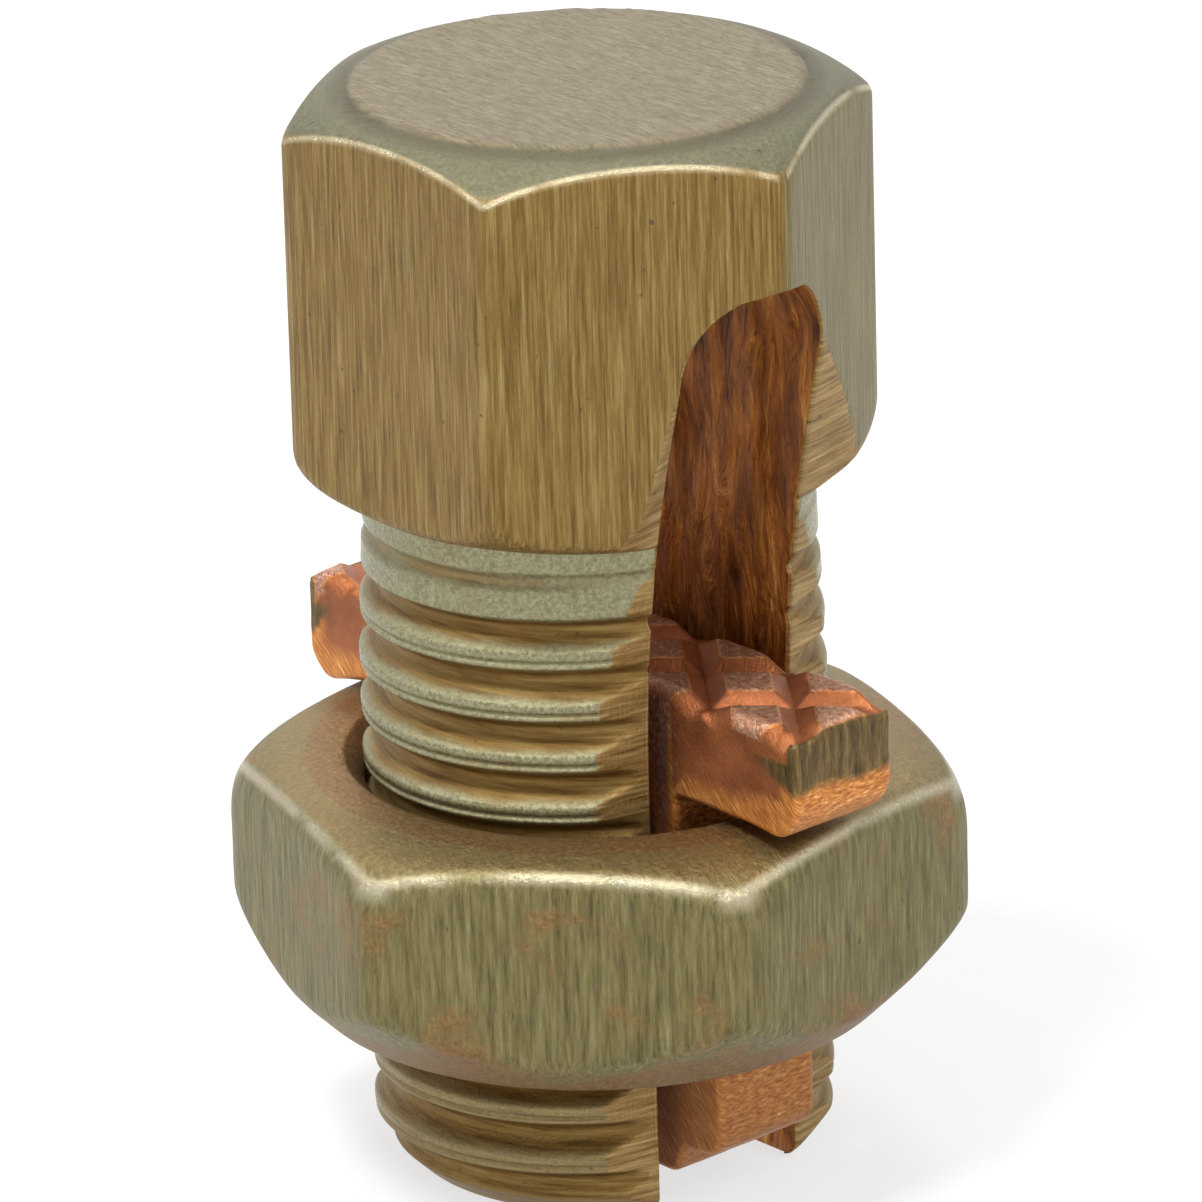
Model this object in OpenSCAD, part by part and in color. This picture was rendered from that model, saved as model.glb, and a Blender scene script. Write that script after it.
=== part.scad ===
// Split bolt connector: a slotted hex-head bolt, its captive pressure bar and a hex nut.
// +Z runs up the bolt from the leg ends to the head, and X is the way a conductor lies in the slot.
// Millimetres. Threads are left plain: the legs are at the thread's major diameter.

/* [Bolt] */
// Major diameter of the thread on the two legs
thread_d = 11.11; // [9:0.01:14]
// Length of the bolt from the leg ends to the top of the head
bolt_len = 26.8; // [24:0.1:40]
// Height of the head, from its root on the legs to its top
head_h = 9.8; // [8:0.1:12]
// How far the head's flats stand out beyond the thread
head_shoulder = 0.615; // [0.4:0.005:1.2]
// How far the head's six corners are turned back from a sharp hexagon
head_corner_trim = 0.06; // [0.02:0.01:0.15]
// Slope of the turned chamfer on top of the head, in degrees
head_chamfer = 30; // [20:1:36]
// Radius of the plain disc in the middle of the head's top
disc_r = 5.3; // [4:0.1:5.4]
// Height of the disc above the chamfer
disc_h = 0.14; // [0.08:0.01:0.3]
// Slope of the head's underside, in degrees
head_under = 22; // [10:1:28]
// Radius of the head's lower corners
head_round = 1.1; // [0.6:0.05:1.4]
// Chamfer at the leg ends
leg_chamfer = 0.92; // [0.5:0.01:1.1]

/* [Slot] */
// Width of the slot between the legs
slot_w = 4.4; // [3.6:0.1:5.4]
// Metal left between the crown of the slot and the top of the head
crown_h = 3.6; // [2.8:0.1:4.4]
// How deep each leg's slot edges are flattened below the thread's crests
flat_cut = 0.81; // [0.5:0.01:1.1]
// Angle that each flat leans back from square to the slot, in degrees
flat_tilt = 11; // [0:1:16]
// Height below the head's root at which the flats start to sweep outward
flare_drop = 6; // [3:0.1:8]
// Radius of the outward sweep of the flats into the head
flare_r = 37; // [25:1:60]

/* [Nut] */
// Height of the nut
nut_h = 6.05; // [4.8:0.05:8]
// Wall from the nut's bore to its flats
nut_wall = 2.25; // [2:0.01:3.2]
// Height of the nut's lower face above the leg ends
nut_z = 4.1; // [3.8:0.1:6]
// Turn of the nut's first corner from the slot's direction, in degrees
nut_turn = 40.3; // [0:0.1:60]
// How far the nut's six corners are turned back from a sharp hexagon
nut_corner_trim = 0.12; // [0.05:0.01:0.2]
// Depth of the countersink at the nut's upper mouth
countersink = 0.35; // [0.2:0.05:0.5]
// Width of the nut's flat rim, measured from the bore
rim_w = 1.07; // [0.8:0.01:1.2]
// Slope of the nut's crown outside its rim, in degrees
crown_slope = 11; // [5:1:20]
// Radius between the nut's crown and its corners
crown_round = 1.3; // [0.8:0.05:1.6]
// Slope of the nut's lower chamfer, in degrees
nut_chamfer = 45; // [30:1:50]
// Width of the nut's flat lower face, measured from the bore
seat_w = 1.3; // [0.8:0.05:1.5]

/* [Pressure bar] */
// Height of the bar's arms
arm_h = 3.05; // [2.4:0.05:4]
// How far the arms reach past the nut's rim
arm_reach = 2.0; // [1:0.05:2.6]
// Radius of the arms' upper end corners
arm_round = 0.75; // [0.4:0.05:1]
// Chamfer under the arms' ends
arm_chamfer = 0.6; // [0.3:0.05:0.9]
// Radius along the bar's long upper edges
edge_round = 0.3; // [0.15:0.05:0.5]
// How far the ears reach past the nut's bore
ear_reach = 0.25; // [0.15:0.05:0.6]
// Height of the swaged ears under the nut
ear_h = 2.4; // [1.6:0.1:2.8]
// Length of the stem below its ears
tip_h = 0.8; // [0.4:0.1:1]
// Spacing of the grip grooves along the bar
groove_pitch = 3.1; // [2:0.1:4]
// Depth of the grip grooves
groove_depth = 0.42; // [0.2:0.01:0.6]
// Angle of the grip grooves from the bar's length, in degrees
groove_angle = 38; // [25:1:60]

/* [Clearances] */
// Running clearance between the nut's bore and the thread, on the radius
thread_gap = 0.05; // [0.02:0.01:0.1]
// Play between the bar and each side of the slot
bar_play = 0.67; // [0.3:0.01:0.9]
// Gap between the bar's stem and the thread inside the nut, on the radius
stem_gap = 0.85; // [0.75:0.05:1.2]
// Gap between the nut's rim and the bar's arms
rim_gap = 0.15; // [0.1:0.05:0.4]
// Gap between the nut's lower face and the bar's ears
ear_gap = 0.2; // [0.1:0.05:0.4]

/* [Hidden] */
$fn = 96;
// overshoot of a cut past the face that it leaves by
past = 1;

thread_r = thread_d / 2;
head_z = bolt_len - head_h;
head_flat = thread_r + head_shoulder;
head_corner = head_flat / cos(30);
head_turned = head_corner - head_corner_trim;
chamfer_z = bolt_len - disc_h;
slot_top = bolt_len - crown_h;

bore_r = thread_r + thread_gap;
nut_flat = bore_r + nut_wall;
nut_corner = nut_flat / cos(30);
nut_turned = nut_corner - nut_corner_trim;
nut_top = nut_z + nut_h;
rim_r = bore_r + rim_w;
seat_r = bore_r + seat_w;

bar_w = slot_w - 2 * bar_play;
arm_x = rim_r + arm_reach;
arm_z = nut_top + rim_gap;
bar_top = arm_z + arm_h;
stem_x = sqrt(pow(bore_r - stem_gap, 2) - pow(bar_w / 2, 2));
ear_x = bore_r + ear_reach;
ear_top = nut_z - ear_gap;
ear_z = ear_top - ear_h;
stem_z = ear_z - tip_h;
ear_round = 0.7;

// points along an arc of radius r about c, from angle a to angle b
function arc(c, r, a, b, steps = 12) =
    [for (i = [0:steps]) c + r * [cos(a + (b - a) * i / steps), sin(a + (b - a) * i / steps)]];

// a body turned about the Z axis from its half section
module turned(section) {
    rotate_extrude() polygon(section);
}

// a hexagonal bar whose first corner lies turn degrees from +X
module hexagon(corner, z, h, turn = 0) {
    translate([0, 0, z]) rotate(turn) cylinder(r = corner, h = h, $fn = 6);
}

// the head's forged form: sloping underside, rounded lower corners, turned chamfer and disc
module head() {
    round_x = head_turned - head_round;
    tangent_x = round_x + head_round * sin(head_under);
    round_z = head_z + (tangent_x - thread_r) * tan(head_under) + head_round * cos(head_under);
    chamfer_end = chamfer_z - (head_turned - disc_r - disc_h) * tan(head_chamfer);
    intersection() {
        hexagon(head_corner, head_z - past, head_h + 2 * past);
        turned(concat(
            [[0, head_z], [thread_r, head_z]],
            arc([round_x, round_z], head_round, head_under - 90, 0),
            [[head_turned, chamfer_end], [disc_r + disc_h, chamfer_z], [disc_r, bolt_len], [0, bolt_len]]
        ));
    }
}

// the threaded shank before it is slotted, with its chamfered end
module shank() {
    turned([
        [0, 0], [thread_r - leg_chamfer, 0], [thread_r, leg_chamfer],
        [thread_r, head_z + past], [0, head_z + past]
    ]);
}

// the slot that splits the shank into two legs, with its round crown in the head
module slot() {
    through = head_corner + past;
    crown_z = slot_top - slot_w / 2;
    translate([-through, -slot_w / 2, -past]) cube([2 * through, slot_w, crown_z + past]);
    translate([-through, 0, crown_z]) rotate([0, 90, 0]) cylinder(d = slot_w, h = 2 * through);
}

// what is cut off one slot edge of one leg: flat along the thread, then sweeping outward
module edge_flat() {
    plane = thread_r - flat_cut;
    depth = thread_d;
    flare_z = head_z - flare_drop;
    rotate(-flat_tilt) translate([plane, -depth, 0]) {
        translate([0, 0, -past]) cube([flare_r, depth, flare_z + past]);
        translate([flare_r, 0, flare_z]) rotate([-90, 0, 0]) cylinder(r = flare_r, h = depth, $fn = 180);
    }
}

module bolt() {
    color("darkkhaki") difference() {
        union() {
            head();
            shank();
        }
        slot();
        for (x = [0, 1], y = [0, 1]) mirror([x, 0, 0]) mirror([0, y, 0]) edge_flat();
    }
}

// the nut's turned form: flat rim, crowned top, rounded corners and chamfered lower side
module nut() {
    round_x = nut_turned - crown_round;
    tangent_x = round_x + crown_round * sin(crown_slope);
    round_z = nut_top - (tangent_x - rim_r) * tan(crown_slope) - crown_round * cos(crown_slope);
    lower_z = nut_z + (nut_turned - seat_r) * tan(nut_chamfer);
    color("olive") intersection() {
        hexagon(nut_corner, nut_z - past, nut_h + 2 * past, nut_turn);
        turned(concat(
            [[bore_r, nut_z], [seat_r, nut_z], [nut_turned, lower_z]],
            arc([round_x, round_z], crown_round, 0, 90 - crown_slope),
            [[rim_r, nut_top], [bore_r + countersink, nut_top], [bore_r, nut_top - countersink]]
        ));
    }
}

// the bar's outline in the XZ plane: arms over the nut, a stem through it and ears below it
module bar_outline() {
    difference() {
        union() {
            translate([-arm_x, arm_z]) square([2 * arm_x, arm_h]);
            translate([-stem_x, stem_z]) square([2 * stem_x, bar_top - stem_z - arm_round]);
            ear_outline();
        }
        for (side = [-1, 1]) {
            translate([side * arm_x, arm_z]) rotate(45) square(arm_chamfer * sqrt(2), center = true);
            translate([side * arm_x, bar_top]) corner_cut(side);
        }
    }
}

// the ears, with their lower outer corners rounded by the swaging tool
module ear_outline() {
    translate([-ear_x, ear_z + ear_round]) square([2 * ear_x, ear_h - ear_round]);
    translate([-ear_x + ear_round, ear_z]) square([2 * (ear_x - ear_round), ear_h]);
    for (side = [-1, 1]) translate([side * (ear_x - ear_round), ear_z + ear_round]) circle(ear_round);
}

// the waste outside one rounded upper corner of the arms
module corner_cut(side) {
    mirror([side > 0 ? 1 : 0, 0]) difference() {
        translate([-past, -arm_round]) square(arm_round + past);
        translate([arm_round, -arm_round]) circle(arm_round);
    }
}

// the bar's cross-section in the YZ plane, with its long upper edges rounded
module bar_section() {
    translate([-bar_w / 2, stem_z]) square([bar_w, bar_top - edge_round - stem_z]);
    translate([-bar_w / 2 + edge_round, stem_z]) square([bar_w - 2 * edge_round, bar_top - stem_z]);
    for (side = [-1, 1]) translate([side * (bar_w / 2 - edge_round), bar_top - edge_round]) circle(edge_round);
}

// one V groove across the bar's top, at x along it
module grip_groove(x, angle) {
    length = 4 * bar_w;
    side = groove_depth * sqrt(2);
    translate([x, 0, bar_top]) rotate(angle) rotate([45, 0, 0])
        translate([-length / 2, -side / 2, -side / 2]) cube([length, side, side]);
}

module pressure_bar() {
    grooves = floor(arm_x / groove_pitch);
    color("peru") difference() {
        intersection() {
            translate([0, bar_w, 0]) rotate([90, 0, 0]) linear_extrude(2 * bar_w) bar_outline();
            translate([-2 * arm_x, 0, 0]) rotate([90, 0, 90]) linear_extrude(4 * arm_x) bar_section();
        }
        for (i = [-grooves:grooves], angle = [-groove_angle, groove_angle])
            grip_groove(i * groove_pitch, angle);
    }
}

bolt();
nut();
pressure_bar();
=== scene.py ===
"""Looks of the split bolt connector: slotted bronze bolt, hex nut and copper pressure bar.

Lengths are in millimetres until a mesh is made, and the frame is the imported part's own:
+Z up the bolt from the leg ends, X along the slot.
"""

import bmesh
import bpy
import numpy as np
from mathutils import Matrix, Vector


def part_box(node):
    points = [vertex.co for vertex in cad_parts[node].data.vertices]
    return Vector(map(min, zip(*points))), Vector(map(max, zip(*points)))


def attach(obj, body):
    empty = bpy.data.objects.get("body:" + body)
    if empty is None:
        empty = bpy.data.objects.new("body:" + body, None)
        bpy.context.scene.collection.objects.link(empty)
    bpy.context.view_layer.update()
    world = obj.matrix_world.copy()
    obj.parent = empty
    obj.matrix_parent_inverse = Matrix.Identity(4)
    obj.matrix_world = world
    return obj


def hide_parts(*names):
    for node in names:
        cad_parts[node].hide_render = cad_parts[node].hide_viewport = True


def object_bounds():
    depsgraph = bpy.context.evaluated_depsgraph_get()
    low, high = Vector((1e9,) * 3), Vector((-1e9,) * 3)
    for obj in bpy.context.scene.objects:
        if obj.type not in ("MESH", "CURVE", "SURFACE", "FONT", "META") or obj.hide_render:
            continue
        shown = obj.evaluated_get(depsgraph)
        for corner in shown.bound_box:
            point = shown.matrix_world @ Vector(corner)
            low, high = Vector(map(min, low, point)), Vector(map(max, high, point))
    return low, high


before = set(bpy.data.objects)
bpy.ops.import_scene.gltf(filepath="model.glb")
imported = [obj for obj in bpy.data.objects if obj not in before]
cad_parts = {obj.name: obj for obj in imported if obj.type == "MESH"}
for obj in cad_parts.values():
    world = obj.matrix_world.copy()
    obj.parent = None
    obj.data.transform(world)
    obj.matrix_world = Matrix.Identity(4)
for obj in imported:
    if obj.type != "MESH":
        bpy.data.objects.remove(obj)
cad_lo, cad_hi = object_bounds()

MM = 0.001
IMAGE = 1202


def box_mm(node):
    """Lowest and highest corners of a CAD node, in millimetres."""
    return [np.array(corner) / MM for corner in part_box(node)]


BOLT_HI = box_mm("bolt")[1]
NUT_LO, NUT_HI = box_mm("nut")
BAR_LO, BAR_HI = box_mm("pressure_bar")

# ---------------------------------------------------------------- sizes

# bolt
THREAD_R = 5.555
PITCH = 1.27
FIRST_CREST = 0.547
HEAD_TOP = BOLT_HI[2]
HEAD_Z = HEAD_TOP - 9.8
HEAD_FLAT = BOLT_HI[1]
HEAD_TURNED = BOLT_HI[0]
UNDER_SLOPE = np.radians(22)
UNDER_ROUND = 1.1
DISC_R = 5.3
DISC_H = 0.14
DOME_DROP = 0.338
DOME_POWER = 1.67
DOME_LEAN = 0.87
HEX_ROUND = 0.12
SLOT_HALF = 2.2
SLOT_TOP = HEAD_TOP - 3.6
ARCH_Z = SLOT_TOP - SLOT_HALF
FLAT_R = THREAD_R - 0.81
FLAT_TILT = np.radians(11)
NEAR_TWIST = np.radians(30)
FLARE_Z = HEAD_Z - 6
FLARE_R = 37
LEG_CHAMFER = 0.92
EDGE_R = 0.13
END_ROUND = 0.09
RIDGE_DEPTH = 0.17
STEP_DEPTH = 0.1

# thread profile over one pitch: height above the crest's middle, and depth below the crest
PROFILE_Z = np.array([-0.635, -0.52, -0.43, -0.34, -0.27, -0.235, -0.2, -0.155, -0.105, -0.06,
                      0.0, 0.09, 0.16, 0.215, 0.3, 0.4, 0.5, 0.635])
PROFILE_DROP = np.array([0.53, 0.5, 0.37, 0.2, 0.075, 0.03, 0.02, 0.045, 0.085, 0.03,
                         0.0, 0.0, 0.02, 0.07, 0.2, 0.36, 0.48, 0.53])
FULL_DEPTH = 0.53
# heights between which the thread runs out under the head, and how far up the nut can travel
RUN_OUT = (14.2, 17.2)
TRAVEL_UP = 6.77


# ---------------------------------------------------------------- number helpers

def lattice(ix, iy, iz, seed):
    """A repeatable number between -1 and 1 for each whole-number point."""
    h = (ix * 73856093) ^ (iy * 19349663) ^ (iz * 83492791) ^ (seed * 40503)
    h = ((h ^ (h >> 13)) * 1274126177) & 0x7FFFFFFF
    h = h ^ (h >> 15)
    return (h & 0xFFFF) / 32767.5 - 1


def noise(x, y, z, seed=1):
    """Smooth noise between -1 and 1 with a cell of 1."""
    x, y, z = np.broadcast_arrays(x, y, z)
    cells = [np.floor(v).astype(np.int64) for v in (x, y, z)]
    parts = [v - c for v, c in zip((x, y, z), cells)]
    ease = [t * t * (3 - 2 * t) for t in parts]
    total = np.zeros(x.shape)
    for corner in range(8):
        step = [(corner >> axis) & 1 for axis in range(3)]
        weight = np.ones(x.shape)
        for axis in range(3):
            weight = weight * (ease[axis] if step[axis] else 1 - ease[axis])
        total += weight * lattice(*[c + s for c, s in zip(cells, step)], seed)
    return total


def rough(x, y, z, seed=1, octaves=3):
    """Noise with finer and finer detail, between about -1 and 1."""
    total = 0
    for octave in range(octaves):
        size = 2.0 ** octave
        total = total + noise(x * size, y * size, z * size, seed + octave) / size
    return total / 1.75


def ease(a, b, t):
    """0 below a, 1 above b, smooth between."""
    t = np.clip((t - a) / (b - a), 0, 1)
    return t * t * (3 - 2 * t)


# how often a search halves its range
HALVINGS = 36


def smin(a, b, k):
    """The smaller of a and b, with the corner between them rounded over k."""
    h = np.maximum(k - np.abs(a - b), 0) / k
    return np.minimum(a, b) - h * h * k / 4


def smax(a, b, k):
    """The larger of a and b, with the corner between them rounded over k."""
    return -smin(-a, -b, k)


# ---------------------------------------------------------------- mesh helpers

class Build:
    """Collects one mesh's points, faces and surface values."""

    def __init__(self):
        self.points, self.faces, self.values, self.count = [], [], {}, 0

    def add(self, x, y, z, **values):
        """Adds points and returns their numbers in the same shape."""
        x, y, z = np.broadcast_arrays(x, y, z)
        numbers = np.arange(x.size).reshape(x.shape) + self.count
        self.points.append(np.stack([x, y, z], -1).reshape(-1, 3))
        for name, value in values.items():
            whole = np.broadcast_to(value, x.shape).reshape(-1)
            self.values.setdefault(name, []).append((self.count, whole))
        self.count += x.size
        return numbers

    def strip(self, numbers, closed=False):
        """Joins rows of points by quads; closed also joins the last column to the first."""
        right = np.roll(numbers, -1, axis=1) if closed else numbers[:, 1:]
        left = numbers if closed else numbers[:, :-1]
        quads = np.stack([left[:-1], right[:-1], right[1:], left[1:]], -1).reshape(-1, 4)
        self.faces += quads.tolist()

    def cap(self, loop):
        """Closes a loop of points by one flat face."""
        self.faces.append([int(n) for n in loop])

    def make(self, name):
        """Makes the object, welded and with its faces turned outward."""
        mesh = bpy.data.meshes.new(name)
        mesh.from_pydata((np.concatenate(self.points) * MM).tolist(), [], self.faces)
        for value_name, chunks in self.values.items():
            whole = np.zeros(self.count)
            for start, chunk in chunks:
                whole[start:start + len(chunk)] = chunk
            layer = mesh.attributes.new(value_name, "FLOAT", "POINT")
            layer.data.foreach_set("value", whole)
        work = bmesh.new()
        work.from_mesh(mesh)
        bmesh.ops.remove_doubles(work, verts=work.verts, dist=2e-7)
        bmesh.ops.dissolve_degenerate(work, edges=work.edges, dist=1e-7)
        bmesh.ops.recalc_face_normals(work, faces=work.faces)
        for face in work.faces:
            face.smooth = len(face.verts) <= 4
        work.to_mesh(mesh)
        work.free()
        piece = bpy.data.objects.new(name, mesh)
        bpy.context.scene.collection.objects.link(piece)
        return piece


def solve_ray(inside, centre_r, centre_z, cos_a, sin_a, reach):
    """How far along each ray the surface lies where inside(r, z) turns positive."""
    near, far = np.zeros(cos_a.shape), np.full(cos_a.shape, float(reach))
    for _ in range(HALVINGS):
        middle = (near + far) / 2
        within = inside(centre_r + middle * cos_a, centre_z + middle * sin_a) < 0
        near, far = np.where(within, middle, near), np.where(within, far, middle)
    return (near + far) / 2


def hex_distance(r, angle, first_corner, flat, k):
    """How far a point lies outside a hexagon with rounded corners."""
    off = np.mod(angle - first_corner, np.pi / 3) - np.pi / 6
    return smax(r * np.cos(off), r * np.cos(np.pi / 3 - np.abs(off)), k) - flat


# ---------------------------------------------------------------- bolt

def thread_drop(angle, z):
    """Depth of the thread groove below its crest, full form."""
    turns = (z - FIRST_CREST) / PITCH - angle / (2 * np.pi)
    phase = (np.mod(turns + 0.5, 1) - 0.5) * PITCH
    return np.interp(phase, PROFILE_Z, PROFILE_DROP)


def shank_radius(angle, z):
    """Radius of a leg, with the thread running out under the head and chamfered at the end."""
    lost = FULL_DEPTH * ease(*RUN_OUT, z)
    drop = np.maximum(thread_drop(angle, z) - lost, 0)
    crest = THREAD_R - 0.01 - 0.17 * ease(12.5, 16.5, z)
    wobble = 0.012 * noise(6 * np.cos(angle), 6 * np.sin(angle), z * 1.6, 5)
    return smin(crest - drop + wobble * (drop < 0.2), THREAD_R - LEG_CHAMFER + z, 0.12)


def flat_radius(turn, z, middle):
    """Radius at which the flats beside the slot cut a leg; turn is from the leg's middle."""
    rise = np.clip(z - FLARE_Z, 0, FLARE_R * 0.9)
    plane = FLAT_R + FLARE_R - np.sqrt(FLARE_R ** 2 - rise ** 2)
    edge_x = (plane - SLOT_HALF * np.sin(FLAT_TILT)) / np.cos(FLAT_TILT)
    twist = NEAR_TWIST if middle > np.pi else 0
    tilt = FLAT_TILT - twist * ease(HEAD_Z - 1, HEAD_Z + 1.5, z)
    plane = edge_x * np.cos(tilt) + SLOT_HALF * np.sin(tilt) + 2 * ease(SLOT_TOP - 1.6, SLOT_TOP - 0.1, z)
    lean = np.cos(np.abs(turn) - (np.pi / 2 - tilt))
    return np.where(lean > 0.2, plane / np.maximum(lean, 0.2), 99.0)


# underside of the head: where its rounded corner is centred, and where that meets the slope
UNDER_X = HEAD_TURNED - UNDER_ROUND
UNDER_TANGENT = UNDER_X + UNDER_ROUND * np.sin(UNDER_SLOPE)
UNDER_ARC_Z = (HEAD_Z + (UNDER_TANGENT - THREAD_R) * np.tan(UNDER_SLOPE)
               + UNDER_ROUND * np.cos(UNDER_SLOPE))
# point on the axis that the rays to the head's surface start from
HEAD_CENTRE_Z = 20.0
# where the rows of the head lie between its landmarks, from 0 to 1: root to lower arris, lower
# arris to side, slot apex to upper arris, and upper arris to the middle of the top
UNDER_STEPS = (0.02, 0.2, 0.4, 0.6, 0.75, 0.85, 0.92, 0.96, 1.0)
ARRIS_STEPS = (0.04, 0.09, 0.16, 0.28, 0.45, 0.65, 0.85, 1.0)
SIDE_STEPS = (0.05, 0.15, 0.3, 0.45, 0.6, 0.75, 0.87, 0.93, 0.965, 0.985, 1.0)
TOP_STEPS = (0.008, 0.018, 0.035, 0.06, 0.09, 0.12, 0.15, 0.18, 0.2, 0.22, 0.24, 0.27, 0.32, 0.4,
             0.5, 0.6, 0.7, 0.8, 0.9, 1.0)


def dome_z(r):
    """Height of the head's top at a distance from the axis."""
    outside = np.maximum(r - DISC_R - DISC_H, 0)
    chamfer = HEAD_TOP - DISC_H - DOME_DROP * outside ** DOME_POWER
    return chamfer + DISC_H * (1 - ease(DISC_R - 0.05, DISC_R + 0.16, r))


def under_z(r):
    """Height of the head's turned underside at a distance from the axis."""
    slope = HEAD_Z + (r - THREAD_R) * np.tan(UNDER_SLOPE)
    run = np.clip(r - UNDER_X, 0, UNDER_ROUND)
    return np.where(r > UNDER_TANGENT, UNDER_ARC_Z - np.sqrt(UNDER_ROUND ** 2 - run ** 2), slope)


def head_outside(r, z, angle):
    """Positive outside the forged head."""
    sides = hex_distance(r, angle, 0, HEAD_FLAT, HEX_ROUND)
    slope = (HEAD_Z + (r - THREAD_R) * np.tan(UNDER_SLOPE) - z) * np.cos(UNDER_SLOPE)
    corner = np.hypot(np.maximum(r - UNDER_X, 0), np.maximum(UNDER_ARC_Z - z, 0)) - UNDER_ROUND
    low = np.where(r > UNDER_TANGENT, corner, slope)
    top = (z - dome_z(r)) * DOME_LEAN
    return smax(smax(sides, low, 0.22), top, 0.2)


def head_rows(angle):
    """Ray directions of the head's rows at some angles, and the number of the slot's apex row."""
    arris_r = np.minimum(HEAD_FLAT / np.cos(np.mod(angle, np.pi / 3) - np.pi / 6), HEAD_TURNED)
    low = np.arctan2(under_z(arris_r) - HEAD_CENTRE_Z, arris_r)
    high = np.arctan2(dome_z(arris_r) - HEAD_CENTRE_Z, arris_r)
    root = np.arctan2(HEAD_Z - HEAD_CENTRE_Z, THREAD_R)
    side = np.arctan2(-1.0, HEAD_TURNED)
    apex = np.arctan2(SLOT_TOP - HEAD_CENTRE_Z, HEAD_TURNED - 0.001)
    rows = [root + (low - root) * s for s in UNDER_STEPS]
    rows += [low + (side - low) * s for s in ARRIS_STEPS]
    arch = ARCH_Z - HEAD_CENTRE_Z + SLOT_HALF * np.sin(np.radians(np.arange(2, 88, 4.3)))
    for rise in [*np.arange(-0.85, 0.95, 0.15), *arch]:
        rows.append(np.full_like(angle, np.arctan2(rise, HEAD_TURNED)))
    rows.append(np.full_like(angle, apex))
    apex_row = len(rows) - 1
    rows += [apex + (high - apex) * s for s in SIDE_STEPS]
    rows += [high + (np.pi / 2 - high) * s for s in TOP_STEPS]
    return rows, apex_row


def head_surface(ray, turn, middle):
    """Radius and height of the head along rays, with the slot's flats cut off."""
    angle = turn + middle
    cos_a, sin_a = np.cos(ray), np.sin(ray)
    t = solve_ray(lambda r, z: head_outside(r, z, angle), 0, HEAD_CENTRE_Z, cos_a, sin_a, 12)
    r, z = t * cos_a, HEAD_CENTRE_Z + t * sin_a
    return smin(r, flat_radius(turn, z, middle), 0.1), z


def slot_half(z):
    """Half width of the slot at a height."""
    rise = np.clip(z - ARCH_Z, 0, SLOT_HALF)
    return np.sqrt(SLOT_HALF ** 2 - rise ** 2)


ARC_HALF = np.concatenate([np.linspace(0, 24, 9)[:-1], 30 - 6 * np.linspace(1, 0, 7)[:-1] ** 1.5,
                           30 + 6 * np.linspace(0, 1, 7)[:-1] ** 1.5, np.linspace(36, 48, 5)])
EDGE_CELLS = 18
WALL_CELLS = 60


def arc_turns(edge):
    """Angles of a row's outer points from the leg's middle, up to the slot edge."""
    steps = 1 - (1 - np.linspace(0, 1, EDGE_CELLS + 1)[1:]) ** 1.6
    start = np.radians(ARC_HALF[-1])
    tail = start + (edge[:, None] - start) * steps
    fixed = np.broadcast_to(np.radians(ARC_HALF), (len(edge), len(ARC_HALF)))
    return np.concatenate([fixed, tail], 1)


def wall_depth(x, y, z):
    """Unevenness of the slot walls: ragged upright ridges and a few broken steps near the arch."""
    ridges = rough(x * 1.5 + 0.5 * noise(x, y, z * 0.5, 3), y * 0.4, z * 0.28, 11, 3)
    steps = rough(x * 0.7, y * 0.4 + 7, z * 1.3 + 0.3 * x, 21, 2)
    return RIDGE_DEPTH * ridges + STEP_DEPTH * steps * ease(HEAD_Z, HEAD_Z + 3, z)


def head_uncut_gap(turn, z, middle):
    """How far the flare cuts below the head's own side, for the surface finish."""
    side = HEAD_FLAT / np.cos(np.mod(turn + middle, np.pi / 3) - np.pi / 6)
    return np.minimum(side, HEAD_TURNED) - flat_radius(turn, z, middle)


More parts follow.
